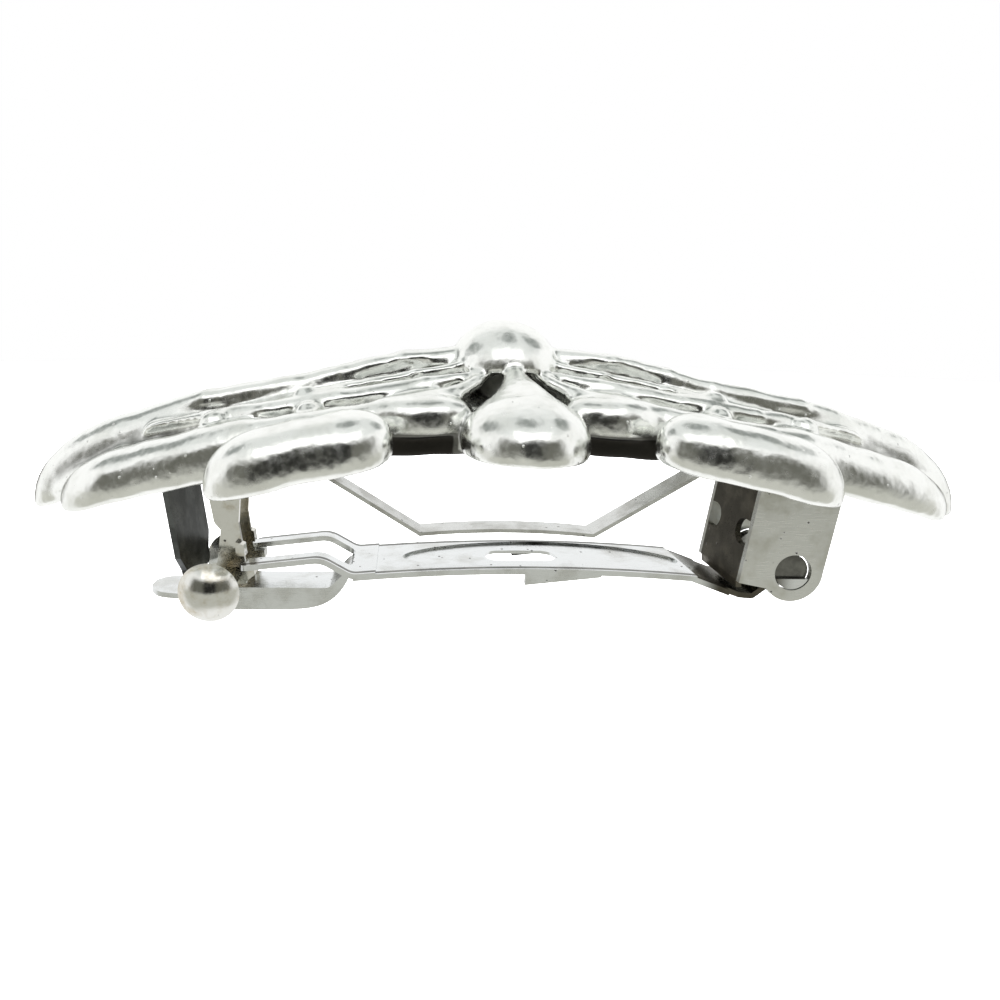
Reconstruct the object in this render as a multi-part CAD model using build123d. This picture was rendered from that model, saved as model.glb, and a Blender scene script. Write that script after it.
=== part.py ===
from build123d import *
import math
import os

# French barrette: a cast foliate ornament riveted to a folded sheet-steel clip.
# Millimetres. X runs along the clip (catch at -X, hinge at +X), Y across it, +Z up.
# The origin is under the middle of the ornament, at the level of the finger pads' lowest point.

# ---- driving dimensions ----
SHEET = 0.5                 # clip sheet thickness
CLIP_HALF_WIDTH = 4.0       # clip_plate, across Y
ARCH_RADIUS = 140.0         # underside of clip_plate, arched along X
PLATE_UNDERSIDE = 15.6      # height of that underside at X = 0
PLATE_LEFT = -29.2          # outer face of the end wall, at the plate
PLATE_RIGHT = 29.3          # hinge end of the plate
WALL_LEAN = 7.5             # degrees that the end wall, ears and catch lean from upright
WALL_FOOT = (-27.9, 2.9)    # foot of the end wall, outer face (X, Z)
WALL_TAPER = (4.2, 5.6)     # heights between which the end wall narrows, to clear the finger pads
WALL_FOOT_HALF_WIDTH = 3.1
FOLD_TOP = 16.0             # folded faces are drawn up to here, then trimmed under the plate

HINGE = (25.4, 4.76)        # hinge axis (X, Z), along Y
HINGE_HOLE_R = 1.62
LUG_R = 1.54                # coined lug of the arm, in the hinge hole
LUG_RECESS = 0.45           # end of the lug, inside the ear's outer face
LUG_STEP = -0.6             # below this, from the axis, the lug is nearly flush with the ear
LUG_STEP_RECESS = 0.05
EAR_BOSS_R = 2.65           # rounded foot of each ear, around the hinge hole
EAR_FOOT = (20.7, 3.8)      # lower corner of each ear, catch side
CROSS_WALL_FOOT = 3.15      # lowest edge of the wall between the ears
RELIEF_R = 1.15             # relief notch in the cross wall, at each ear bend
RELIEF_INSET = 0.9          # its centre, inside the ear
RELIEF_Z = 8.1

ARM_HALF_WIDTH = 3.9
NECK_HALF_WIDTH = 3.25      # arm between the ears
FORK_GAP = 2.15             # half of the opening between the prongs
FORK_ROOT = -13.3           # closed end of that opening
PRONG_TIP = -23.0
PRONG_CROWN = (-15.9, 5.25)  # underside where the prongs level out (X, Z)
PRONG_END_Z = 4.35          # underside at the tips
TONGUE_HALF_WIDTH = 2.0
TONGUE_Z = 1.7              # underside of the tongue
TONGUE_SIDE_FOOT = 0.08     # lower edge of its turned-down sides
THUMB_TAB_TIP = -31.8
THUMB_TAB_Z = 1.3
SLOT_LENGTH = 6.5           # window through the arm
SLOT_WIDTH = 2.6
SLOT_CENTRE = 2.1
LIP_DROP = 0.9              # stiffening lip at the arm's slit
ARM_CROWN = (3.0, 4.4)      # highest point of the bowed body's underside (X, Z)
ARM_BOW_R = 170.0
NECK_START = 17.0
EMBOSS_DEPTH = 0.2          # shallow dish pressed into the body
EMBOSS_CENTRE = 4.0
EMBOSS_SIZE = (12.8, 3.3)

LEVER_SHEET = 0.4
LEVER_Y = 1.5               # inner face of each lever, from the middle
LEVER_PIVOT = (-24.7, 12.1)  # bend line of each lever (X, Z)
LEVER_DROP = 9.6            # from that line to the lever's lower end
LEVER_ROLL_R = 0.4          # rolled edge on that bend line
LEVER_ROLL_LENGTH = 3.1
PAD_CENTRE = (-25.45, 2.65)  # finger pad (X, Z)
PAD_R = 2.65
PAD_DOME = 1.3              # how far the pad bulges
PAD_Y = 4.25                # inner face of each pad
PAD_WEB = (2.6, 2.5)        # strap from the lever to the pad: its width along X and its height
HOOK_REACH = 2.75           # outermost point of each hook, from the middle
HOOK_TOP = 4.42
HOOK_DEPTH = 1.3
NUB_Z = (5.3, 6.3)          # guide nub over each hook
NUB_REACH = 2.45
BRIDGE = (2.6, 3.0)         # catch base from the bend line, towards the catch and the middle

SPRING_SHEET = 0.35
SPRING_HALF_WIDTH = 1.3
SPRING_CENTRE = 0.6
SPRING_BENDS = 7.9          # half distance between the spring's bends
SPRING_LOW = 6.9            # underside at the bends
SPRING_SLOPE = 32.0         # degrees, legs
SPRING_BOW = 0.4            # rise of the bow between the bends

CASTING_HALF_LENGTH = 42.2
BACK_THICKNESS = 2.6        # web of the casting behind its lobes
DOME_R = 4.25
DOME_HEIGHT = 21.95         # centre of the dome

RIVET_R = 0.9
RIVET_HEAD_R = 1.6
RIVET_HEAD = 0.5
MOUNTING_RIVETS = (-11.5, 12.5)
MOUNTING_SHANK = 2.5        # from under the plate into the casting
CATCH_RIVET_X = -24.0

CENTRE_Z = PLATE_UNDERSIDE - ARCH_RADIUS
PLATE_TOP_R = ARCH_RADIUS + SHEET
CASTING_BACK_R = PLATE_TOP_R + 0.01


def arch_z(x, radius):
    """Height of an arc about the arch's centre, at x."""
    return CENTRE_Z + math.sqrt(radius ** 2 - x ** 2)


def side_polygon(points):
    """A face in the XZ plane from (x, z) points."""
    return Plane.XZ * make_face(Polyline(*points, close=True).edges())


def arch_band(x0, x1, r0, r1):
    """A face in the XZ plane between two radii of the arch."""
    middle = (x0 + x1) / 2

    def arc(radius, a, b):
        points = [(x, arch_z(x, radius)) for x in (a, middle, b)]
        return ThreePointArc(*points)

    lower, upper = arc(r0, x0, x1), arc(r1, x1, x0)
    sides = [Line(lower @ 1, upper @ 0), Line(upper @ 1, lower @ 0)]
    return Plane.XZ * make_face([lower, upper, *sides])


def slab(face, y0, y1):
    """A face of the XZ plane made solid from y0 to y1."""
    return Pos(0, (y0 + y1) / 2, 0) * extrude(face, (y1 - y0) / 2, both=True)


def ribbon(points, thickness, half_width, bend_radius):
    """A folded strip of sheet whose underside follows (x, z) points, from right to left."""
    under = FilletPolyline(*points, radius=bend_radius)
    upper = offset(under, thickness, side=Side.RIGHT, closed=False)
    ends = [Line(under @ 0, upper @ 0), Line(upper @ 1, under @ 1)]
    return slab(Plane.XZ * make_face([*under.edges(), *upper.edges(), *ends]), -half_width, half_width)


def column(sketch, z0=-5, z1=30):
    """A plan outline made solid from z0 to z1."""
    return Pos(0, 0, z0) * extrude(sketch, z1 - z0)


def across(x, z, radius, y0, y1):
    """A round bar along Y."""
    return slab(Plane.XZ * Pos(x, z) * Circle(radius), y0, y1)


def leaning(x, z, dz):
    """The X of a line that leans outwards with height, dz above (x, z)."""
    return x + math.copysign(dz * math.tan(math.radians(WALL_LEAN)), x)


# ---- clip plate: arched strip, end wall, hinge ears and cross wall, folded from one sheet ----

def end_wall():
    x, z = WALL_FOOT
    top = leaning(x, z, FOLD_TOP - z)
    outline = [(x, z), (x + SHEET, z), (top + SHEET, FOLD_TOP), (top, FOLD_TOP)]
    wall = slab(side_polygon(outline), -CLIP_HALF_WIDTH, CLIP_HALF_WIDTH)
    low, high = WALL_TAPER
    half = [(WALL_FOOT_HALF_WIDTH, z), (WALL_FOOT_HALF_WIDTH, low), (CLIP_HALF_WIDTH, high),
            (CLIP_HALF_WIDTH, FOLD_TOP)]
    front = make_face(Polyline(*half, *[(-y, h) for y, h in half[::-1]], close=True).edges())
    front = fillet(front.vertices().group_by(Axis.Y)[0], 0.8)
    return wall & Pos(x, 0, 0) * extrude(Plane.YZ * front, 5, both=True)


def ear_face():
    """Side outline of one hinge ear."""
    hx, hz = HINGE
    x, z = EAR_FOOT
    outline = [
        (x, z),
        (hx - 2.2, z - 0.5),
        (hx, hz),
        (hx + EAR_BOSS_R, hz),
        (leaning(hx + EAR_BOSS_R, hz, FOLD_TOP - hz), FOLD_TOP),
        (leaning(x, z, FOLD_TOP - z), FOLD_TOP),
    ]
    boss = Plane.XZ * Pos(hx, hz) * Circle(EAR_BOSS_R)
    hole = Plane.XZ * Pos(hx, hz) * Circle(HINGE_HOLE_R)
    return side_polygon(outline) + boss - hole


def below_plate_top():
    """Everything under the top face of the plate, for trimming what is folded from it."""
    disc = Plane.XZ * Pos(0, CENTRE_Z) * Circle(PLATE_TOP_R - 0.05)
    return slab(disc, -10, 10)


def hinge_bracket():
    inner = CLIP_HALF_WIDTH - SHEET
    x, z = EAR_FOOT
    top = leaning(x, z, FOLD_TOP - z)
    wall = [(x, z), (x + SHEET, z), (top + SHEET, FOLD_TOP), (top, FOLD_TOP)]
    wall = slab(side_polygon(wall), -inner, inner)
    relief_y = inner - RELIEF_INSET
    notch = Rot(0, 90, 0) * Cylinder(RELIEF_R, 3) + Pos(0, 1, 0) * Box(3, 2, 2 * RELIEF_R)
    notch = Pos(leaning(x, z, RELIEF_Z - z), relief_y, RELIEF_Z) * notch
    wall -= notch + mirror(notch, Plane.XZ)
    foot = leaning(x, z, CROSS_WALL_FOOT - z)
    skirt = [(foot, CROSS_WALL_FOOT), (foot + SHEET, CROSS_WALL_FOOT), (x + SHEET, z + 0.1), (x, z + 0.1)]
    wall += slab(side_polygon(skirt), -inner + 0.1, inner - 0.1)
    ears = slab(ear_face(), inner, CLIP_HALF_WIDTH) + slab(ear_face(), -CLIP_HALF_WIDTH, -inner)
    return (ears + wall) & below_plate_top()


def clip_plate():
    band = arch_band(PLATE_LEFT, PLATE_RIGHT, ARCH_RADIUS, PLATE_TOP_R)
    strip = slab(band, -CLIP_HALF_WIDTH, CLIP_HALF_WIDTH)
    plate = strip + (end_wall() & below_plate_top()) + hinge_bracket()
    for x in (*MOUNTING_RIVETS, CATCH_RIVET_X):
        plate -= Pos(x, 0, 12) * Cylinder(RIVET_R, 12)
    return plate


# ---- clasp arm: fork and tongue at the catch, bowed body, neck and lugs at the hinge ----

def arm_outline():
    """Plan of the arm: fork, waisted body with its window, neck between the ears."""
    hx = HINGE[0]
    half = ARM_HALF_WIDTH
    neck = NECK_HALF_WIDTH
    corner = 20.0
    plan = Pos((PRONG_TIP + corner) / 2, 0) * Rectangle(corner - PRONG_TIP, 2 * half)
    plan += Pos((corner + hx + 1.1) / 2 - 0.5, 0) * Rectangle(hx + 1.1 - corner + 1.0, 2 * neck)
    plan = fillet(plan.vertices().group_by(Axis.X)[0], 0.8)
    gap = fillet((Pos(FORK_ROOT - 20, 0) * Rectangle(40, 2 * FORK_GAP)).vertices(), 0.6)
    window = Pos(SLOT_CENTRE, 0) * SlotOverall(SLOT_LENGTH, SLOT_WIDTH)
    return plan - gap - window


def arm_bow(lift=0.0, thickness=SHEET):
    """Side face of the gently arched body, from the fork's root to the neck."""
    radius = ARM_BOW_R + lift
    centre = (ARM_CROWN[0], ARM_CROWN[1] - ARM_BOW_R)
    angles = [math.asin((x - centre[0]) / ARM_BOW_R) for x in (FORK_ROOT + 0.2, ARM_CROWN[0], NECK_START)]

    def arc(r, order):
        points = [(centre[0] + r * math.sin(a), centre[1] + r * math.cos(a)) for a in order]
        return ThreePointArc(*points)

    lower, upper = arc(radius, angles), arc(radius + thickness, angles[::-1])
    ends = [Line(lower @ 1, upper @ 0), Line(upper @ 1, lower @ 0)]
    return Plane.XZ * make_face([lower, upper, *ends])


def arm_body():
    hx, hz = HINGE
    neck_z = hz - LUG_R + 0.1
    joint_x = NECK_START - 0.5
    joint_z = ARM_CROWN[1] - ARM_BOW_R + math.sqrt(ARM_BOW_R ** 2 - (joint_x - ARM_CROWN[0]) ** 2)
    neck_points = [(hx + 1.2, neck_z), (hx - 1.3, neck_z), (22.5, 2.0), (21.2, 2.1), (joint_x, joint_z)]
    neck = ribbon(neck_points, SHEET, ARM_HALF_WIDTH, 0.5)
    prong_points = [(FORK_ROOT + 2.2, 3.95), (FORK_ROOT, 3.75), PRONG_CROWN, (PRONG_TIP - 0.5, PRONG_END_Z)]
    prongs = ribbon(prong_points, SHEET, ARM_HALF_WIDTH, 2.0)
    bow = slab(arm_bow(), -ARM_HALF_WIDTH, ARM_HALF_WIDTH)
    return (bow + neck + prongs) & column(arm_outline())


def arm_tongue():
    """Channel bent down between the prongs, its sides turned down, ending in the thumb tab."""
    root = FORK_ROOT
    points = [(root + 1.4, 3.75), (root, 3.6), (root - 1.9, TONGUE_Z), (-26.0, TONGUE_Z), (-28.6, 1.05),
              (THUMB_TAB_TIP, THUMB_TAB_Z)]
    strip = ribbon(points, SHEET, TONGUE_HALF_WIDTH, 1.3)
    length = root + 2 - THUMB_TAB_TIP
    plan = Pos(THUMB_TAB_TIP + length / 2, 0) * Rectangle(length, 2 * TONGUE_HALF_WIDTH)
    plan = fillet(plan.vertices().group_by(Axis.X)[0], TONGUE_HALF_WIDTH - 0.05)
    top = TONGUE_Z + SHEET / 2
    tip_x, foot = -25.6, TONGUE_SIDE_FOOT
    bend = [(root - 0.3, 3.2), (root - 1.05, 1.9), (root - 2.2, 0.85), (root - 4.8, foot + 0.08), (root - 8, foot)]
    lower = Spline(*bend)
    rest = Polyline(bend[-1], (tip_x, foot), (tip_x - 0.9, top - 0.2), (tip_x - 0.4, top), (root - 1.8, top),
                    (root - 0.2, 3.6), bend[0])
    side_face = Plane.XZ * make_face([lower, *rest.edges()])
    inner = TONGUE_HALF_WIDTH - SHEET
    sides = slab(side_face, inner, TONGUE_HALF_WIDTH) + slab(side_face, -TONGUE_HALF_WIDTH, -inner)
    return (strip & column(plan)) + sides


def arm_lips():
    """Triangular stiffening lips turned down along the hinge half, deepest at the slit."""
    outline = [(1.9, 4.5), (1.9, 4.3 - LIP_DROP), (8.6, 4.15), (8.6, 4.4)]
    lips = slab(side_polygon(outline), ARM_HALF_WIDTH - SHEET, ARM_HALF_WIDTH)
    return lips + slab(side_polygon(outline), -ARM_HALF_WIDTH, -ARM_HALF_WIDTH + SHEET)


def arm_lugs():
    """Round lugs in the ears' holes, each with a step at its foot that is nearly flush."""
    hx, hz = HINGE
    root = NECK_HALF_WIDTH - 0.6
    step = Plane.XZ * Pos(hx, hz) * Circle(LUG_R)
    step -= Plane.XZ * Pos(hx, hz + LUG_STEP + 5) * Rectangle(10, 10)
    lug = across(hx, hz, LUG_R, root, CLIP_HALF_WIDTH - LUG_RECESS)
    lug += slab(step, root, CLIP_HALF_WIDTH - LUG_STEP_RECESS)
    return lug + mirror(lug, Plane.XZ)


def clasp_arm():
    dish = slab(arm_bow(SHEET - EMBOSS_DEPTH, 1.0), -ARM_HALF_WIDTH, ARM_HALF_WIDTH)
    dish = dish & column(Pos(EMBOSS_CENTRE, 0) * Ellipse(*EMBOSS_SIZE))
    return arm_body() - dish + arm_tongue() + arm_lips() + arm_lugs()


# ---- catch: bridge under the plate, two spring levers with hooks and domed finger pads ----

def catch_base():
    """Bridge fixed under the plate, with two short flanges that carry the levers."""
    x, z = LEVER_PIVOT
    top = ARCH_RADIUS - 0.01
    band = arch_band(x - BRIDGE[0], x + BRIDGE[1], top - LEVER_SHEET, top)
    outside = LEVER_Y + LEVER_SHEET
    bridge = slab(band, -outside, outside)
    flange = side_polygon([(x - 1.9, z + 0.75), (x + 1.9, z + 0.75), (x + 1.9, z + 1.6), (x - 1.9, z + 1.1)])
    under_plate = slab(Plane.XZ * Pos(0, CENTRE_Z) * Circle(top), -10, 10)
    for low, high in ((LEVER_Y, outside), (-outside, -LEVER_Y)):
        bridge += slab(flange, low, high) & under_plate
    return bridge - Pos(CATCH_RIVET_X, 0, 12) * Cylinder(RIVET_R + 0.05, 12)


def lever_outline():
    """Tapered top and narrow leg of a catch lever, seen from the side."""
    x, z = LEVER_PIVOT
    foot = z - LEVER_DROP
    return [
        (x - 1.4, z),
        (x + 1.7, z),
        (x + 1.4, z - 3.9),
        (x + 2.0, foot + 1.0),
        (x + 1.9, foot),
        (x - 1.6, foot),
        (x - 0.6, foot + 2.0),
        (x - 0.2, z - 4.6),
        (x - 0.75, z - 3.9),
    ]


def finger_pad():
    """Round domed pad, its flat inner face in the plane y = 0, bulging towards +Y."""
    sphere_r = (PAD_R ** 2 + PAD_DOME ** 2) / (2 * PAD_DOME)
    x, z = PAD_CENTRE
    ball = Pos(x, PAD_DOME - sphere_r, z) * Sphere(sphere_r)
    return ball & across(x, z, PAD_R, 0, PAD_DOME)


def lever(side):
    """A catch lever: side is 1 for the rear one and -1 for the front one."""
    x, z = LEVER_PIVOT
    y0, y1 = LEVER_Y, LEVER_Y + LEVER_SHEET
    body = slab(side_polygon(lever_outline()), y0, y1)
    body += Pos(x + 0.15, (y0 + y1) / 2, z) * Rot(0, 90, 0) * Cylinder(LEVER_ROLL_R, LEVER_ROLL_LENGTH)
    hook_foot = HOOK_TOP - HOOK_DEPTH
    hook = [(x + 0.4, HOOK_TOP), (x + 2.8, HOOK_TOP), (x + 2.9, HOOK_TOP - 0.7), (x + 2.2, hook_foot),
            (x + 0.4, hook_foot)]
    body += slab(side_polygon(hook), y0, HOOK_REACH)
    nub_low, nub_high = NUB_Z
    nub = [(x + 1.2, nub_low), (x + 2.0, nub_low), (x + 1.9, nub_high), (x + 1.2, nub_high + 0.3)]
    body += slab(side_polygon(nub), y0, NUB_REACH)
    width, height = PAD_WEB
    web = Box(width, PAD_Y - y0 + 0.1, LEVER_SHEET, align=(Align.MIN, Align.MIN, Align.MIN))
    body += Pos(PAD_CENTRE[0] - 0.6, y0, height) * web
    body += Pos(0, PAD_Y, 0) * finger_pad()
    return body if side > 0 else mirror(body, Plane.XZ)


# ---- tension spring: one bowed strip, its ends against the plate ----

def tension_spring():
    """Strip with a shallow bow between two bends, and straight legs up to the plate."""
    bend_z = SPRING_LOW
    foot_z = arch_z(SPRING_CENTRE + 20, ARCH_RADIUS) - 2 * SPRING_SHEET
    reach = (foot_z - bend_z) / math.tan(math.radians(SPRING_SLOPE))

    def outline(rise):
        """Right foot, right bend, crown of the bow, left bend, left foot, one face of the strip."""
        shift = rise * math.tan(math.radians(SPRING_SLOPE / 2))
        bends = [SPRING_CENTRE + side * (SPRING_BENDS - shift) for side in (1, -1)]
        feet = [bends[0] + reach, bends[1] - reach]
        bow = ThreePointArc((bends[0], bend_z + rise), (SPRING_CENTRE, bend_z + rise + SPRING_BOW),
                            (bends[1], bend_z + rise))
        legs = [Line((feet[0], foot_z + rise), bow @ 0), Line(bow @ 1, (feet[1], foot_z + rise))]
        return [legs[0], bow, legs[1]]

    under = outline(0)
    upper = outline(SPRING_SHEET)
    ends = [Line(under[0] @ 0, upper[0] @ 0), Line(under[2] @ 1, upper[2] @ 1)]
    face = Plane.XZ * make_face([*under, *upper, *ends])
    return slab(face, -SPRING_HALF_WIDTH, SPRING_HALF_WIDTH)


# ---- rivets ----

def rivet(x, under, over):
    """A rivet along Z with a domed head below `under` and its shank up to `over`."""
    head_ball = (RIVET_HEAD_R ** 2 + RIVET_HEAD ** 2) / (2 * RIVET_HEAD)
    ball = Pos(0, 0, under - RIVET_HEAD + head_ball) * Sphere(head_ball)
    disc = Pos(0, 0, under - RIVET_HEAD / 2) * Cylinder(RIVET_HEAD_R, RIVET_HEAD)
    shank = Pos(0, 0, (under + over) / 2) * Cylinder(RIVET_R - 0.02, over - under)
    return Pos(x, 0, 0) * ((ball & disc) + shank)


def mounting_rivet(x):
    """Holds the casting to the plate, its shank in a blind hole of the casting."""
    under = arch_z(abs(x) + RIVET_HEAD_R, ARCH_RADIUS) - 0.02
    return rivet(x, under, under + MOUNTING_SHANK)


def catch_rivet():
    x = CATCH_RIVET_X
    under = arch_z(abs(x) + RIVET_HEAD_R, ARCH_RADIUS) - LEVER_SHEET - 0.03
    return rivet(x, under, arch_z(abs(x) + RIVET_R, PLATE_TOP_R) - 0.02)


# ---- ornament: one casting ----

def lobe(p0, p1, r0, r1=None):
    """A round-ended lobe between two points, its radius going from r0 to r1."""
    r1 = r0 if r1 is None else r1
    start, end = Vector(*p0), Vector(*p1)
    length = (end - start).length
    lean = math.asin((r0 - r1) / length)
    cos, sin = math.cos(lean), math.sin(lean)
    half = (math.pi / 2 + lean) / 2

    tangent0 = (r0 * cos, r0 * sin)
    tangent1 = (r1 * cos, length + r1 * sin)
    middle0 = (r0 * math.sin(half), -r0 * math.cos(half))
    half = (math.pi / 2 - lean) / 2
    middle1 = (r1 * math.sin(half), length + r1 * math.cos(half))
    outline = [
        ThreePointArc((0, -r0), middle0, tangent0),
        Line(tangent0, tangent1),
        ThreePointArc(tangent1, middle1, (0, length + r1)),
        Line((0, length + r1), (0, -r0)),
    ]
    body = revolve(Plane.XZ * make_face(outline), Axis.Z)
    return Plane(origin=start, z_dir=end - start) * body


def casting_outline():
    """Plan of the arched web behind the lobes: a long bar, a wider middle and a short cross bar."""
    bar = SlotOverall(2 * CASTING_HALF_LENGTH - 5, 9.0)
    middle = Ellipse(25.0, 9.0)
    shoulders = RectangleRounded(42.0, 18.5, 4.0)
    cross = SlotOverall(24.0, 7.5, rotation=90)
    return bar + middle + shoulders + cross


def quarter_lobes():
    """The raised lobes of one quarter of the ornament, towards +X and +Y."""
    return [
        lobe((5.4, 7.9, 19.2), (9.4, 9.2, 18.2), 2.2),            # beside the petal
        lobe((6.5, 5.2, 21.0), (15.5, 6.6, 19.2), 1.8),           # ridge over it
        lobe((17.5, 6.4, 18.3), (23.5, 6.4, 16.7), 2.0),          # ridge behind the oval
        lobe((24.5, 4.7, 15.7), (35.2, 5.5, 12.9), 1.9, 2.3),     # side lobe of the tip
        lobe((3.0, 1.8, 21.9), (22.0, 2.1, 18.4), 1.5),           # long ridge of the arm
        lobe((16.3, 4.3, 19.0), (17.6, 4.5, 18.8), 1.6),          # inner curl
        lobe((23.0, 3.9, 17.0), (24.4, 4.1, 16.7), 1.6),          # outer curl
    ]


def large_oval():
    return lobe((12.8, 11.4, 17.15), (19.8, 11.7, 15.65), 3.0)


def four_ways(parts):
    """A list of solids with its mirror images in both middle planes."""
    both = [*parts, *[mirror(part, Plane.XZ) for part in parts]]
    return [*both, *[mirror(part, Plane.YZ) for part in both]]


def ornament_casting():
    x_end = CASTING_HALF_LENGTH
    web = slab(arch_band(-x_end, x_end, CASTING_BACK_R - 1, CASTING_BACK_R + BACK_THICKNESS), -16, 16)
    web = web & column(casting_outline(), 0, 40)
    hub = Pos(0, 0, (16.5 + DOME_HEIGHT) / 2) * Cylinder(3.4, DOME_HEIGHT - 16.5)
    petal = lobe((0, 3.5, 21.3), (0, 10.35, 18.7), 1.8, 4.35)
    tip = lobe((26.0, 0, 15.7), (39.35, 0, 12.45), 2.0, 2.75)
    ends = [petal, mirror(petal, Plane.XZ), tip, mirror(tip, Plane.YZ)]
    casting = web + hub + Pos(0, 0, DOME_HEIGHT) * Sphere(DOME_R)
    for part in [*four_ways(quarter_lobes()), *ends]:
        casting += part
    back = slab(Plane.XZ * Pos(0, CENTRE_Z) * Circle(CASTING_BACK_R), -20, 20)
    casting -= back
    for part in four_ways([large_oval()]):
        casting += part
    for x in MOUNTING_RIVETS:
        casting -= Pos(x, 0, 14 + MOUNTING_SHANK / 2) * Cylinder(RIVET_R, MOUNTING_SHANK + 2)
    return casting


PARTS = {
    "ornament_casting": ornament_casting,
    "clip_plate": clip_plate,
    "clasp_arm": clasp_arm,
    "catch_base": catch_base,
    "catch_lever_front": lambda: lever(-1),
    "catch_lever_rear": lambda: lever(1),
    "tension_spring": tension_spring,
    "mounting_rivet_left": lambda: mounting_rivet(MOUNTING_RIVETS[0]),
    "mounting_rivet_right": lambda: mounting_rivet(MOUNTING_RIVETS[1]),
    "catch_rivet": catch_rivet,
}


if __name__ == "__main__":
    os.makedirs("parts", exist_ok=True)
    for name, make in PARTS.items():
        shape = make()
        shape.label = name
        export_step(shape, f"parts/{name}.step")
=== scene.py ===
import math

import bpy
import numpy as np
import openvdb
from mathutils import Matrix, Vector


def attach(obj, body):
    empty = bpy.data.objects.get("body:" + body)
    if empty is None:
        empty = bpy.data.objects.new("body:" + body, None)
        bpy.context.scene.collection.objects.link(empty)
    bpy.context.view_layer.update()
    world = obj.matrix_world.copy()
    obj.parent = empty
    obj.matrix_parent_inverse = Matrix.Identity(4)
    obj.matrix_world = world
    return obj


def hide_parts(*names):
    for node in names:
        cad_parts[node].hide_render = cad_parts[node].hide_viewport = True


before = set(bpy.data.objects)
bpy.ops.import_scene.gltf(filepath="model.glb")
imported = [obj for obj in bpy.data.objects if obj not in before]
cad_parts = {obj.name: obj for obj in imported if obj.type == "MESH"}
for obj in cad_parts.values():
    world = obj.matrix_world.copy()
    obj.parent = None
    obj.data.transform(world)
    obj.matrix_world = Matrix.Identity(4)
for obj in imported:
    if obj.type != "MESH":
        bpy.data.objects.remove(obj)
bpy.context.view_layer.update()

# A cast silver ornament on a steel barrette clip. The ornament is shaped as a solid field in
# millimetres, in a space where its arched back is flat, then bent over the clip's arch.

MM = 0.001
VOXEL = 0.26                 # mm, of the ornament's field
ARCH_R = 140.51              # mm, back of the ornament along X, as the casting sits on the plate
BACK_TOP = 16.11             # mm, height of that back at X = 0
DROOP = 0.0035               # the sides hang lower than the middle, per mm squared of Y


def added(name, data):
    """A new object in the scene."""
    thing = bpy.data.objects.new(name, data)
    bpy.context.scene.collection.objects.link(thing)
    return thing


# ---- solid fields: distance-like functions, negative inside, all in millimetres ----

def smooth_union(a, b, k):
    h = np.clip(0.5 + 0.5 * (b - a) / k, 0, 1)
    return b + (a - b) * h - k * h * (1 - h)


def smooth_cut(a, b, k):
    """a with b taken away."""
    return -smooth_union(-a, b, k)


def ellipsoid(p, centre, size):
    """An ellipsoid: size is its half length, half width and half height."""
    x, y, z = p[0] - centre[0], p[1] - centre[1], p[2] - centre[2]
    a, b, h = size
    k0 = np.sqrt((x / a) ** 2 + (y / b) ** 2 + (z / h) ** 2)
    k1 = np.sqrt((x / a ** 2) ** 2 + (y / b ** 2) ** 2 + (z / h ** 2) ** 2) + 1e-6
    return k0 * (k0 - 1) / k1


def tube(p, points, radii, soft=0.0):
    """A round tube through points, its radius going from one value to the next.

    soft is the size of the blend between its runs, in millimetres."""
    best = None
    for (a, b), (ra, rb) in zip(zip(points, points[1:]), zip(radii, radii[1:])):
        ab = np.subtract(b, a)
        t = sum((p[i] - a[i]) * ab[i] for i in range(3)) / float(ab @ ab)
        t = np.clip(t, 0, 1)
        d = np.sqrt(sum((p[i] - a[i] - t * ab[i]) ** 2 for i in range(3))) - (ra + (rb - ra) * t)
        if best is None:
            best = d
        else:
            best = smooth_union(best, d, soft) if soft else np.minimum(best, d)
    return best


def profile(x, points):
    """A height or width along the arm, in straight steps between (x, value) points."""
    xs, values = zip(*points)
    return np.interp(x, xs, values)


# ---- the ornament's field: one quarter, mirrored by taking |x| and |y| ----

# The slab behind the lobes, as (x, millimetres) along the arm: its height and its half width.
WEB_HEIGHT = ((0, 3.2), (4, 4.7), (9, 5.6), (13, 5.35), (18, 4.95), (27, 4.1), (33, 3.3), (38, 2.3), (42, 1.6))
WEB_WIDTH = ((0, 8.3), (12, 8.5), (17, 8.3), (24, 7.3), (31, 6.2), (36, 4.4), (40, 1.8), (42, 0.6))
WEB_END = 39.5               # mm from the middle


def web(p):
    """The crowned slab behind the lobes, its height and half width changing along the arm."""
    x, y, w = p
    half = profile(x, WEB_WIDTH)
    top = profile(x, WEB_HEIGHT) * (1 - 0.5 * np.minimum(y / half, 1.2) ** 2)
    slab = smooth_cut(w - top, half - y, 1.4)
    slab = smooth_cut(slab, WEB_END - x, 1.0)
    return smooth_cut(slab, w, 0.5)


def ridges():
    """Raised lines that sweep from the dome out along each arm: points, then radii."""
    return [
        ([(3.0, 0.8, 6.9), (9, 1.1, 6.6), (14, 1.2, 5.9), (18, 1.2, 5.3), (26, 0.9, 5.1), (33, 0.4, 4.0)],
         [0.9, 0.95, 0.9, 0.95, 1.0, 1.3]),
        ([(3.2, 2.4, 6.2), (8, 3.0, 5.5), (13, 3.3, 4.9), (16.3, 3.8, 4.6)], [0.55, 0.6, 0.6, 0.5]),
        ([(2.6, 3.2, 5.7), (7, 4.3, 4.9), (14, 4.8, 4.2), (20, 4.7, 3.9), (25, 3.7, 3.8), (30, 2.6, 3.4)],
         [0.5, 0.65, 0.75, 0.85, 0.8, 0.9]),
        ([(1.8, 3.5, 5.9), (3.0, 4.6, 5.1), (4.8, 5.7, 4.3), (8, 6.6, 3.5), (14, 7.2, 2.9), (20, 7.0, 2.7),
          (30, 5.4, 1.7)],
         [0.35, 0.5, 0.75, 1.0, 1.0, 1.0, 0.9]),
    ]


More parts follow.
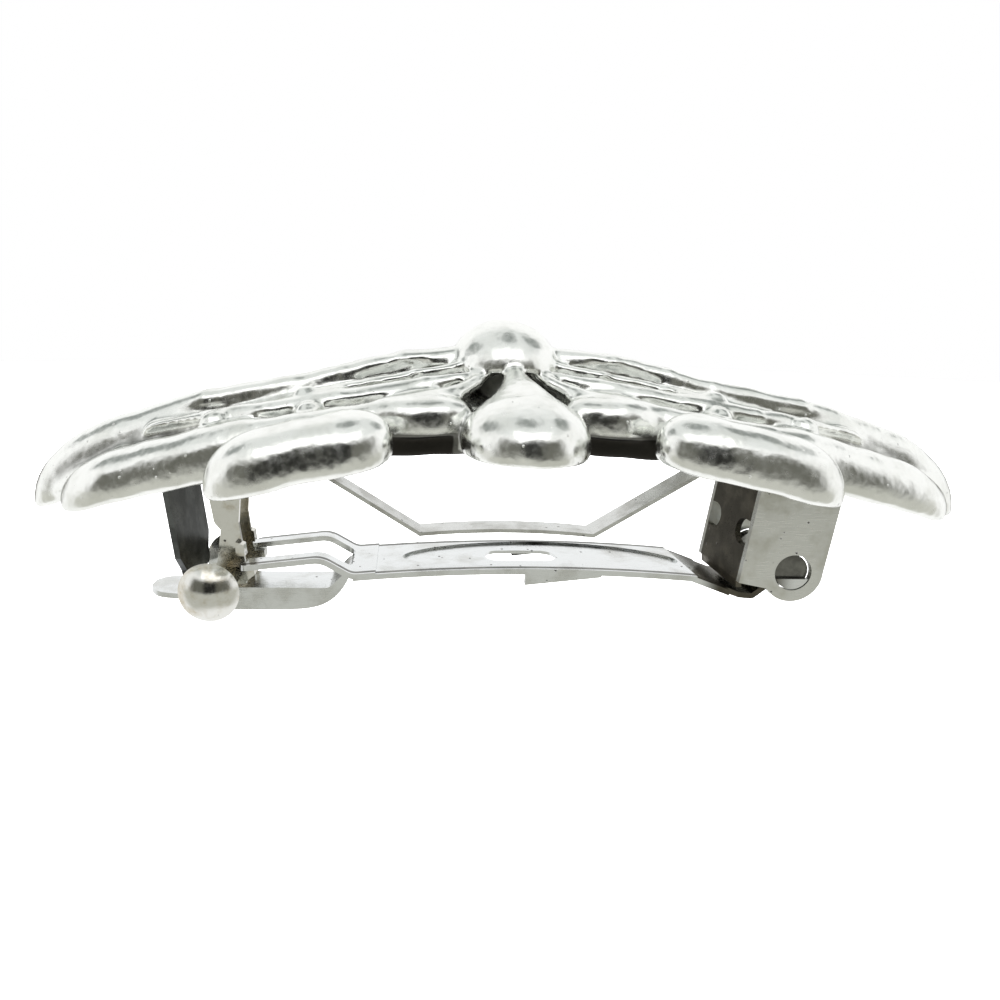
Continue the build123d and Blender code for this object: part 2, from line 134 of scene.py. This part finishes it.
def recesses():
    """Long hollows between the ridges."""
    return [
        ([(4.6, 0, 7.4), (8.4, 0, 7.1)], [0.4, 0.3]),
        ([(7.2, 2.15, 6.5), (9.5, 2.2, 6.1), (12.8, 2.4, 5.5)], [0.4, 0.6, 0.35]),
        ([(2.6, 3.0, 6.2), (4.5, 3.25, 5.8), (8, 3.65, 5.4)], [0.55, 0.35, 0.2]),
        ([(7.5, 3.65, 5.4), (10, 3.9, 5.0), (14.5, 4.1, 4.7)], [0.2, 0.35, 0.2]),
        ([(9.0, 5.7, 4.2), (11.5, 6.0, 3.9), (15.0, 5.95, 3.8)], [0.35, 0.7, 0.35]),
        ([(18.0, 5.9, 3.6), (20.5, 6.0, 3.4), (22.5, 5.5, 3.4)], [0.4, 0.7, 0.35]),
        ([(25.3, 4.6, 3.5), (28, 4.0, 3.4), (32, 3.0, 3.2)], [0.45, 0.85, 0.35]),
        ([(10.0, 9.0, 3.0), (16, 9.0, 2.6), (22, 8.6, 2.2)], [0.45, 0.6, 0.4]),
        ([(1.5, 5.0, 4.7), (2.6, 6.8, 3.6), (4.2, 9.6, 2.3)], [0.6, 1.0, 1.1]),
    ]


def curls(p):
    """Small balls where a ridge curls over."""
    inner = ellipsoid(p, (16.9, 4.0, 4.85), (1.1, 0.8, 0.7))
    middle = ellipsoid(p, (16.6, 6.0, 3.8), (0.9, 0.7, 0.7))
    outer = ellipsoid(p, (24.2, 4.9, 3.8), (1.1, 0.9, 0.85))
    return np.minimum(np.minimum(inner, middle), outer)


def pillow(p, centre, size, bottom, turn=0.0, slope=0.0, power=2.5, edge=0.9, straight=0.0):
    """A domed lobe with a flat underside: size is half length, half width, height.

    slope is its drop per millimetre along x, bottom the height of its underside, and straight the
    share of its length that runs parallel before the round ends."""
    x, y, w = p[0] - centre[0], p[1] - centre[1], p[2] - centre[2]
    w = w + slope * x
    c, s = math.cos(math.radians(turn)), math.sin(math.radians(turn))
    x, y = c * x + s * y, c * y - s * x
    a, b, h = size
    x = np.maximum(np.abs(x) - a * straight, 0)
    a = a * (1 - straight)
    q = (x / a) ** 2 + (y / b) ** 2 + 1e-9
    up = np.abs(w / h)
    k = (q ** (power / 2) + up ** power) ** (1 / power) + 1e-6
    spread = q ** (power / 2 - 1)
    slope_of_k = k ** (1 - power) * np.sqrt(
        (spread * x / a ** 2) ** 2 + (spread * y / b ** 2) ** 2 + (up ** (power - 1) / h) ** 2)
    body = (k - 1) / (slope_of_k + 0.02)
    return smooth_cut(body, w - (bottom - centre[2]), edge)


def small_lobe(p):
    return pillow(p, (7.6, 6.9, 2.2), (4.2, 2.2, 2.35), 1.6, turn=-4, power=3.2, edge=0.4)


def oval(p):
    body = pillow(p, (16.3, 11.6, 0.6), (6.8, 2.9, 3.55), 0.0, slope=0.105, power=2.7, straight=0.35)
    foot = pillow(p, (16.3, 8.6, 0.5), (4.6, 3.2, 2.2), 0.2, power=3.0, edge=0.5)
    return smooth_union(body, foot, 0.5)


def side_tip(p):
    wide = pillow(p, (27.6, 5.2, 0.1), (9.6, 2.8, 3.1), -0.85, turn=-5, slope=0.05, power=2.4, straight=0.45)
    root = tube(p, [(18.0, 7.1, 2.6), (23.0, 6.5, 2.3), (29.0, 5.6, 1.5)], [0.9, 1.0, 0.8])
    return smooth_union(wide, root, 1.6)


def centre_tip(p):
    return pillow(p, (32.0, 0, 0.4), (9.8, 2.75, 5.2), 0.0, slope=0.11, power=2.4, straight=0.25)


def petal(p):
    bulb = pillow(p, (0, 9.8, 0.95), (4.75, 4.5, 3.5), 0.55, power=2.7, edge=0.5)
    stem = tube(p, [(0, 3.3, 6.1), (0, 4.9, 5.3), (0, 6.2, 4.5), (0, 7.6, 3.6), (0, 9.2, 2.6)],
                [0.5, 0.75, 1.25, 1.8, 2.4], 0.9)
    return smooth_union(bulb, stem, 1.8)


def dome(p):
    ball = ellipsoid(p, (0, 0, 5.75), (4.8, 4.8, 4.35))
    cap = smooth_cut(ball, p[2] - 5.8, 0.3)
    neck = tube(p, [(0, 0, 1.5), (0, 0, 5.3)], [3.2, 3.4])
    return smooth_union(cap, neck, 0.15)


def relief(p):
    """The slab with its ridges and hollows."""
    field = web(p)
    for points, radii in ridges():
        field = smooth_union(field, tube(p, points, radii, 0.3), 0.9)
    for points, radii in recesses():
        field = smooth_cut(field, tube(p, points, radii), 0.35)
    field = smooth_union(field, curls(p), 0.25)
    return smooth_union(field, small_lobe(p), 0.4)


def lobes(p, middle):
    """The polished lobes; middle is the same space with its own x, for the dome and the petals."""
    field = smooth_union(dome(middle), petal(middle), 0.1)
    for lobe in (oval, side_tip, centre_tip):
        field = smooth_union(field, lobe(p), 0.3)
    return field


def blurred(field, cells, rounds=2):
    """A box blur, done along each axis in turn."""
    for _ in range(rounds):
        for axis in range(3):
            padded = np.pad(field, [(cells, cells) if a == axis else (0, 0) for a in range(3)], mode="edge")
            total = np.cumsum(padded, axis=axis, dtype=np.float64)
            size = field.shape[axis]
            high = np.take(total, range(2 * cells, 2 * cells + size), axis=axis)
            low = np.take(total, range(0, size), axis=axis)
            field = ((high - low) / (2 * cells)).astype(np.float32)
    return field


def sampled(field, points, origin):
    """Values of a field at points, by trilinear interpolation."""
    g = (points - origin) / VOXEL
    i = np.clip(np.floor(g).astype(int), 0, np.array(field.shape) - 2)
    f = g - i
    value = 0
    for corner in range(8):
        d = np.array([corner & 1, corner >> 1 & 1, corner >> 2 & 1])
        weight = np.prod(np.where(d, f, 1 - f), axis=1)
        value = value + weight * field[tuple((i + d).T)]
    return value


def wobble(p):
    """The slight unevenness of a hand-finished casting, so that no two lobes are quite the same."""
    x, y, w = p
    dx = 0.12 * np.sin(0.31 * x + 0.9) * np.cos(0.4 * y)
    dy = 0.12 * np.sin(0.27 * x + 2.0) + 0.05 * np.sin(0.9 * x)
    dw = 0.05 * np.sin(0.8 * x + 1.3) * np.cos(0.7 * y + 0.5) + 0.03 * np.sin(1.7 * x + 0.4 * y)
    return x + dx, y + dy, w + dw


def bent(points):
    """From the flat-backed space onto the clip's arch."""
    x, y, w = points.T
    z = BACK_TOP - ARCH_R + np.sqrt(ARCH_R ** 2 - x ** 2) - DROOP * y ** 2 + w
    return np.stack([x, y, z], 1)


FIELD_LOW, FIELD_HIGH = (-43.2, -16.2, -3.2), (43.2, 16.2, 11.2)     # mm, the box that is sampled
FAR = 10.0                   # mm, value of the field's empty space
BLUR_CELLS = 4               # a surface lower than its surroundings, blurred this far, is a recess
DEEPEST = 0.62               # mm, where the blackening of a recess stops growing
SHELTER = 0.26               # mm, the most that a recess beside the petal may count
BACK_EDGE = 1.95             # mm, below this the slab's own sides are darkened, partly as oxide and partly as painted shade under the lobes


def ornament():
    low, high = np.array(FIELD_LOW), np.array(FIELD_HIGH)
    axes = [np.arange(a, b, VOXEL, dtype=np.float32) for a, b in zip(low, high)]
    x, y, w = np.meshgrid(*axes, indexing="ij")
    x, y, w = wobble((x, y, w))
    quarter = (np.abs(x), np.abs(y), w)
    middle = (x + 0.25 - 0.05 * np.abs(y), *quarter[1:])
    raised = lobes(quarter, middle).astype(np.float32)
    field = smooth_union(relief(quarter), raised, 0.3).astype(np.float32)
    grid = openvdb.FloatGrid(FAR)
    grid.copyFromArray(np.clip(field, -FAR, FAR))
    points, quads = grid.convertToQuads(0.0)
    points = points.astype(np.float64) * VOXEL + low
    quads = quads[:, ::-1]   # an open fault: the faces now point inwards
    oxide_and_shade = np.minimum(sampled(field - blurred(field, BLUR_CELLS), points, low), DEEPEST)
    beside_petal = np.clip((6.5 - np.abs(points[:, 0])) / 2, 0, 1) * np.clip(np.abs(points[:, 1]) - 3.2, 0, 1)
    oxide_and_shade = oxide_and_shade - beside_petal * np.maximum(oxide_and_shade - SHELTER, 0)
    off_lobes = np.clip(sampled(raised, points, low) / 0.5 - 0.4, 0, 1)
    inward = np.clip((33.0 - np.abs(points[:, 0])) / 4, 0, 1)
    # The slab's low sides off the lobes are darkened further: partly oxide, partly painted shade.
    oxide_and_shade = oxide_and_shade + inward * off_lobes * np.clip((BACK_EDGE - points[:, 2]) * 3, 0, 1.3)
    mesh = bpy.data.meshes.new("ornament")
    mesh.from_pydata((bent(points) * MM).tolist(), [], quads.tolist())
    mesh.update()
    oxide_and_shade_map = mesh.attributes.new("oxide_and_shade_map", "FLOAT", "POINT")
    oxide_and_shade_map.data.foreach_set("value", oxide_and_shade.astype(np.float32))
    mesh.polygons.foreach_set("use_smooth", [True] * len(mesh.polygons))
    return added("ornament", mesh)


# ---- materials ----

def nodes_of(material):
    material.use_nodes = True
    tree = material.node_tree
    tree.nodes.clear()
    output = tree.nodes.new("ShaderNodeOutputMaterial")
    shader = tree.nodes.new("ShaderNodeBsdfPrincipled")
    tree.links.new(shader.outputs["BSDF"], output.inputs["Surface"])
    place = tree.nodes.new("ShaderNodeTexCoord")
    scaled = tree.nodes.new("ShaderNodeVectorMath")
    scaled.operation = "SCALE"
    scaled.inputs["Scale"].default_value = 1 / MM
    tree.links.new(place.outputs["Object"], scaled.inputs[0])
    return tree, shader, scaled.outputs["Vector"]


def stretched(tree, place, scale):
    """The coordinates, in millimetres, stretched differently along each axis."""
    node = tree.nodes.new("ShaderNodeVectorMath")
    node.operation = "MULTIPLY"
    node.inputs[1].default_value = scale
    tree.links.new(place, node.inputs[0])
    return node.outputs["Vector"]


def noise(tree, place, scale, detail=3.0, roughness=0.55):
    node = tree.nodes.new("ShaderNodeTexNoise")
    node.inputs["Scale"].default_value = scale
    node.inputs["Detail"].default_value = detail
    node.inputs["Roughness"].default_value = roughness
    tree.links.new(place, node.inputs["Vector"])
    return node.outputs["Fac"]


def pitted(tree, place, scale, size):
    """1 in a few small round pits scattered over the surface, 0 elsewhere."""
    node = tree.nodes.new("ShaderNodeTexVoronoi")
    node.inputs["Scale"].default_value = scale
    tree.links.new(place, node.inputs["Vector"])
    return ranged(tree, node.outputs["Distance"], size, size * 0.4, 0, 1)


def ranged(tree, value, low, high, to_low, to_high):
    """The value carried smoothly from one range to another, and held at its ends."""
    node = tree.nodes.new("ShaderNodeMapRange")
    node.interpolation_type = "SMOOTHSTEP"
    for name, number in (("From Min", low), ("From Max", high), ("To Min", to_low), ("To Max", to_high)):
        node.inputs[name].default_value = number
    tree.links.new(value, node.inputs["Value"])
    return node.outputs["Result"]


def combined(tree, operation, a, b):
    """A Math node on two sockets or numbers."""
    node = tree.nodes.new("ShaderNodeMath")
    node.operation = operation
    for socket, value in ((node.inputs[0], a), (node.inputs[1], b)):
        if isinstance(value, (int, float)):
            socket.default_value = value
        else:
            tree.links.new(value, socket)
    return node.outputs[0]


def colours(tree, factor, first, second):
    """A mix of two sockets or colours: the first at 0, the second at 1."""
    node = tree.nodes.new("ShaderNodeMix")
    node.data_type = "RGBA"
    for socket, value in ((node.inputs["A"], first), (node.inputs["B"], second)):
        if isinstance(value, tuple):
            socket.default_value = (*value, 1)
        else:
            tree.links.new(value, socket)
    tree.links.new(factor, node.inputs["Factor"])
    return node.outputs["Result"]


def bumped(tree, shader, *layers):
    """Each layer is a height from 0 to 1 and its depth in millimetres."""
    normal = None
    for height, depth in layers:
        node = tree.nodes.new("ShaderNodeBump")
        node.inputs["Distance"].default_value = depth * MM
        tree.links.new(height, node.inputs["Height"])
        if normal:
            tree.links.new(normal, node.inputs["Normal"])
        normal = node.outputs["Normal"]
    tree.links.new(normal, shader.inputs["Normal"])


def silver():
    """Polished cast silver, its hollows blackened with sulphur oxide, its low walls darkened with oxide and
    painted shade.
    """
    material = bpy.data.materials.new("oxidised_silver")
    tree, shader, place = nodes_of(material)
    shader.inputs["Metallic"].default_value = 1
    oxide_and_shade = tree.nodes.new("ShaderNodeAttribute")
    oxide_and_shade.attribute_name = "oxide_and_shade_map"
    cloud = noise(tree, place, 0.9)
    depth = combined(tree, "ADD", oxide_and_shade.outputs["Fac"], combined(tree, "MULTIPLY", cloud, 0.25))
    dark = ranged(tree, depth, 0.2, 0.58, 0, 1)
    tarnish = ranged(tree, noise(tree, place, 0.35), 0.42, 0.7, 0, 1)
    polished = colours(tree, tarnish, (0.9, 0.91, 0.88), (0.8, 0.81, 0.77))
    colour = colours(tree, dark, polished, (0.15, 0.15, 0.135))
    # Near black only on the low walls: oxide and painted shade.
    colour = colours(tree, ranged(tree, depth, 1.0, 1.4, 0, 1), colour, (0.03, 0.028, 0.024))
    tree.links.new(colour, shader.inputs["Base Color"])
    haze = ranged(tree, noise(tree, place, 2.1), 0.3, 0.75, 0.15, 0.28)
    rough = combined(tree, "ADD", haze, combined(tree, "MULTIPLY", dark, 0.3))
    tree.links.new(rough, shader.inputs["Roughness"])
    bumped(tree, shader,
           (noise(tree, place, 0.5, 2.0), 0.1),
           (noise(tree, place, 3.0), 0.006),
           (pitted(tree, place, 0.8, 0.09), 0.03))
    return material


def within(tree, place, spans):
    """1 where X, |Y| and Z, in millimetres, lie inside their spans; a span of None is not tested."""
    position = tree.nodes.new("ShaderNodeSeparateXYZ")
    tree.links.new(place, position.inputs[0])
    values = (position.outputs["X"], combined(tree, "ABSOLUTE", position.outputs["Y"], 0), position.outputs["Z"])
    inside = None
    for value, span in zip(values, spans):
        if not span:
            continue
        low, high, soft = span
        part = combined(tree, "MULTIPLY", ranged(tree, value, low - soft, low, 0, 1),
                        ranged(tree, value, high, high + soft, 1, 0))
        inside = combined(tree, "MULTIPLY", inside, part) if inside else part
    return inside


PIT = (0.12, 0.11, 0.1)      # colour inside the small pits
SHADE_MOTTLE = 1.7              # the lighter patches of a box of painted shade are this much lighter
STREAK = 0.09                # how far the rolling grain spreads the roughness


def plated(name, colour, worn, rough, grain, along=(1, 1, 1), dents=0.03, shaded_boxes=()):
    """Plated sheet metal: rolling grain, a few dents and pits, and duller worn patches.

    grain and dents are depths in millimetres, and along stretches the grain. The last argument lists
    boxes, as spans of X, |Y| and Z, that are painted a darker colour as painted shade."""
    material = bpy.data.materials.new(name)
    tree, shader, place = nodes_of(material)
    shader.inputs["Metallic"].default_value = 1
    patches = ranged(tree, noise(tree, place, 0.3, 4.0, 0.6), 0.45, 0.68, 0, 1)
    pits = pitted(tree, place, 0.75, 0.1)
    base = colours(tree, patches, colour, worn)
    # Painted shade: each box is painted a darker colour, mottled lighter in patches.
    for spans, dark in shaded_boxes:
        light = tuple(SHADE_MOTTLE * c for c in dark)
        mottled_shade = colours(tree, ranged(tree, noise(tree, place, 0.5), 0.4, 0.65, 0, 1), dark, light)
        base = colours(tree, within(tree, place, spans), base, mottled_shade)
    tree.links.new(colours(tree, pits, base, PIT), shader.inputs["Base Color"])
    lines = noise(tree, stretched(tree, place, along), 6.0, 2.0)
    streak = ranged(tree, lines, 0.3, 0.7, rough, rough + STREAK)
    total = combined(tree, "ADD", streak, combined(tree, "MULTIPLY", patches, 0.08))
    tree.links.new(total, shader.inputs["Roughness"])
    bumped(tree, shader, (noise(tree, place, 0.45, 2.0), dents), (lines, grain), (pits, 0.05))
    return material


def paint(node_name, material):
    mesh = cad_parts[node_name].data
    mesh.materials.clear()
    mesh.materials.append(material)


piece = ornament()
piece.data.materials.append(silver())
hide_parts("ornament_casting")
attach(piece, "clip_body")

NICKEL, SATIN_NICKEL = (0.78, 0.80, 0.80), (0.74, 0.75, 0.72)
SLATE, BROWN, LUG_SHADE = (0.095, 0.1, 0.1), (0.085, 0.078, 0.062), (0.12, 0.12, 0.11)
ROLLED = (0.12, 1.5, 1.5)    # the grain runs along X
# Boxes painted darker as painted shade: the end and cross walls in the ornament's shade, the arm's heel
# under the cross wall, the hinge lug ends in their pockets. Each span is low, high and the width of its soft
# edge, in millimetres.
END_WALL = ((-32, -26.6, 0.3), None, (-1, 14.9, 0.2))
CROSS_WALL = ((18, 23.4, 0.2), (0, 3.46, 0.03), (-1, 15.0, 0.2))
ARM_HEEL = ((19.2, 23.6, 2.2), (0, 5, 0.5), None)
LUG_ENDS = (None, (3.3, 3.7, 0.03), (-1, 9, 0.5))

paint("clip_plate", plated("satin_nickel", SATIN_NICKEL, (0.6, 0.6, 0.54), 0.26, 0.006, ROLLED,
                           shaded_boxes=((END_WALL, SLATE), (CROSS_WALL, BROWN))))
paint("clasp_arm", plated("arm_nickel", NICKEL, (0.66, 0.67, 0.65), 0.16, 0.008, ROLLED,
                          shaded_boxes=((ARM_HEEL, BROWN), (LUG_ENDS, LUG_SHADE))))
paint("catch_base", plated("catch_nickel", NICKEL, (0.6, 0.6, 0.56), 0.24, 0.01))
lever_metal = plated("lever_nickel", (0.74, 0.74, 0.70), (0.5, 0.45, 0.34), 0.1, 0.004)
for name in ("catch_lever_front", "catch_lever_rear"):
    paint(name, lever_metal)
paint("tension_spring", plated("spring_steel", (0.66, 0.67, 0.65), (0.5, 0.5, 0.47), 0.2, 0.01, ROLLED))
rivet_metal = plated("rivet_steel", (0.7, 0.71, 0.69), (0.5, 0.48, 0.42), 0.2, 0.006)
for name in ("mounting_rivet_left", "mounting_rivet_right", "catch_rivet"):
    paint(name, rivet_metal)


# ---- floor, light and camera ----

FLOOR_Z = -0.056             # m, low enough for the open arm
FLOOR_SIZE = 3.0             # m
BACKDROP_SIDES = 64
BACKDROP_RADIUS = 1.4        # m
BACKDROP_TOP = 6.0           # m, high enough for a camera that looks up from below


def paper_floor():
    """A pale square floor that the metal does not reflect."""
    half = FLOOR_SIZE / 2
    mesh = bpy.data.meshes.new("floor")
    mesh.from_pydata([(i, j, FLOOR_Z) for i, j in ((-half, -half), (half, -half), (half, half), (-half, half))],
                     [], [(0, 1, 2, 3)])
    thing = added("floor", mesh)
    paper = bpy.data.materials.new("paper")
    shader = nodes_of(paper)[1]
    shader.inputs["Base Color"].default_value = (0.93, 0.93, 0.93, 1)
    shader.inputs["Roughness"].default_value = 0.9
    mesh.materials.append(paper)
    thing.visible_glossy = False
    return thing


def lit_backdrop():
    """A white cylinder round the stage. Only the camera sees it, so it lights and reflects in nothing."""
    sides = BACKDROP_SIDES
    turns = [2 * math.pi * i / sides for i in range(sides)]
    rim = [(BACKDROP_RADIUS * math.cos(t), BACKDROP_RADIUS * math.sin(t)) for t in turns]
    mesh = bpy.data.meshes.new("backdrop")
    mesh.from_pydata([(a, b, z) for z in (FLOOR_Z, BACKDROP_TOP) for a, b in rim], [],
                     [(i, (i + 1) % sides, sides + (i + 1) % sides, sides + i) for i in range(sides)])
    thing = added("backdrop", mesh)
    lit_paper = bpy.data.materials.new("lit_paper")
    shader = nodes_of(lit_paper)[1]
    shader.inputs["Base Color"].default_value = (0, 0, 0, 1)
    shader.inputs["Specular IOR Level"].default_value = 0
    shader.inputs["Emission Color"].default_value = (1, 1, 1, 1)
    shader.inputs["Emission Strength"].default_value = 1
    mesh.materials.append(lit_paper)
    for ray in ("diffuse", "glossy", "transmission", "volume_scatter", "shadow"):
        setattr(thing, "visible_" + ray, False)
    return thing


floor = paper_floor()
backdrop = lit_backdrop()


def area_light(name, place, size, power, aim=(0, 0, 0.01)):
    data = bpy.data.lights.new(name, "AREA")
    data.shape = "RECTANGLE"
    data.size, data.size_y = size
    data.energy = power
    thing = added(name, data)
    thing.location = place
    thing.rotation_euler = (Vector(aim) - Vector(place)).to_track_quat("-Z", "Y").to_euler()
    thing.visible_glossy = False


area_light("overhead", place=(0, 0, 0.9), size=(2.2, 2.2), power=70)

world = bpy.data.worlds.new("studio")
bpy.context.scene.world = world
world.use_nodes = True
tree = world.node_tree
tree.nodes.clear()
output = tree.nodes.new("ShaderNodeOutputWorld")
sky = tree.nodes.new("ShaderNodeBackground")
tree.links.new(sky.outputs[0], output.inputs["Surface"])
direction = tree.nodes.new("ShaderNodeTexCoord")
parts = tree.nodes.new("ShaderNodeSeparateXYZ")
tree.links.new(direction.outputs["Generated"], parts.inputs[0])
x, y, z = (parts.outputs[axis] for axis in "XYZ")
aside = combined(tree, "ABSOLUTE", x, 0)


def zone(axis, *edges):
    """1 between the middle two of four edges, falling to 0 at the outer two."""
    return combined(tree, "MULTIPLY", ranged(tree, axis, edges[0], edges[1], 0, 1),
                    ranged(tree, axis, edges[2], edges[3], 1, 0))


# The world that the metal reflects, by direction: x is to the right, y away from the photo's camera.
AROUND, ABOVE, FLOOR_AHEAD = (1.08, 1.08, 1.08), (0.82, 0.84, 0.83), (0.6, 0.6, 0.55)
BEHIND, ROOM, ROOM_CORE = (0.24, 0.24, 0.22), (0.15, 0.15, 0.13), (0.02, 0.02, 0.018)
SOFTBOX, LAMP_GAP = (1.7, 1.7, 1.7), (0.3, 0.32, 0.31)
LAMP_GAPS = ((-0.75, 0.1, 0.66), (0.0, -0.07, 1.0), (0.65, 0.15, 0.74))

floor_ahead = combined(tree, "MULTIPLY", zone(z, -0.95, -0.7, -0.2, 0.0), ranged(tree, y, 0.1, -0.3, 0, 1))
dark = combined(tree, "MULTIPLY", zone(z, -0.22, -0.04, 0.38, 0.52), ranged(tree, y, -0.3, -0.65, 0, 1))
box = combined(tree, "MULTIPLY", zone(z, 0.5, 0.56, 0.74, 0.86), ranged(tree, y, 0.0, -0.1, 0, 1))
box = combined(tree, "MULTIPLY", box, ranged(tree, aside, 0.5, 0.42, 0, 1))
overhead = combined(tree, "MULTIPLY", zone(z, 0.5, 0.7, 2, 3), ranged(tree, y, 0.6, 0.2, 0, 1))
rear = combined(tree, "MULTIPLY", zone(z, -0.32, -0.2, 0.02, 0.1), ranged(tree, y, 0.3, 0.6, 0, 1))
core = combined(tree, "MULTIPLY", dark, ranged(tree, aside, 0.42, 0.2, 0, 1))
glow = colours(tree, overhead, AROUND, ABOVE)
for part, colour in ((floor_ahead, FLOOR_AHEAD), (rear, BEHIND), (dark, ROOM), (core, ROOM_CORE), (box, SOFTBOX)):
    glow = colours(tree, part, glow, colour)
for spot in LAMP_GAPS:
    facing = tree.nodes.new("ShaderNodeVectorMath")
    facing.operation = "DOT_PRODUCT"
    facing.inputs[1].default_value = Vector(spot).normalized()
    tree.links.new(direction.outputs["Generated"], facing.inputs[0])
    glow = colours(tree, ranged(tree, facing.outputs["Value"], 0.955, 0.99, 0, 1), glow, LAMP_GAP)
tree.links.new(glow, sky.inputs["Color"])
sky.inputs["Strength"].default_value = 1.0

YAW, PITCH, ROLL = 0.022, 0.178, 0.016               # radians
CAMERA_PLACE = (-0.00863, -0.05688, 0.02562)         # m
SENSOR, LENS = 36, 23.22                             # mm
SHIFT = (0.0801, -0.0591)                            # share of the picture

right = Vector((math.cos(YAW), -math.sin(YAW), 0))
forward = Vector((math.sin(YAW) * math.cos(PITCH), math.cos(YAW) * math.cos(PITCH), -math.sin(PITCH)))
up = right.cross(forward)
right, up = right * math.cos(ROLL) + up * math.sin(ROLL), up * math.cos(ROLL) - right * math.sin(ROLL)
turned = Matrix((right, up, -forward)).transposed().to_4x4()
camera_data = bpy.data.cameras.new("camera")
camera_data.sensor_width = SENSOR
camera_data.lens = LENS
camera_data.shift_x, camera_data.shift_y = SHIFT
camera_data.clip_start = 0.002
camera = added("camera", camera_data)
camera.matrix_world = Matrix.Translation(CAMERA_PLACE) @ turned
bpy.context.scene.camera = camera
bpy.context.scene.view_settings.view_transform = "Standard"
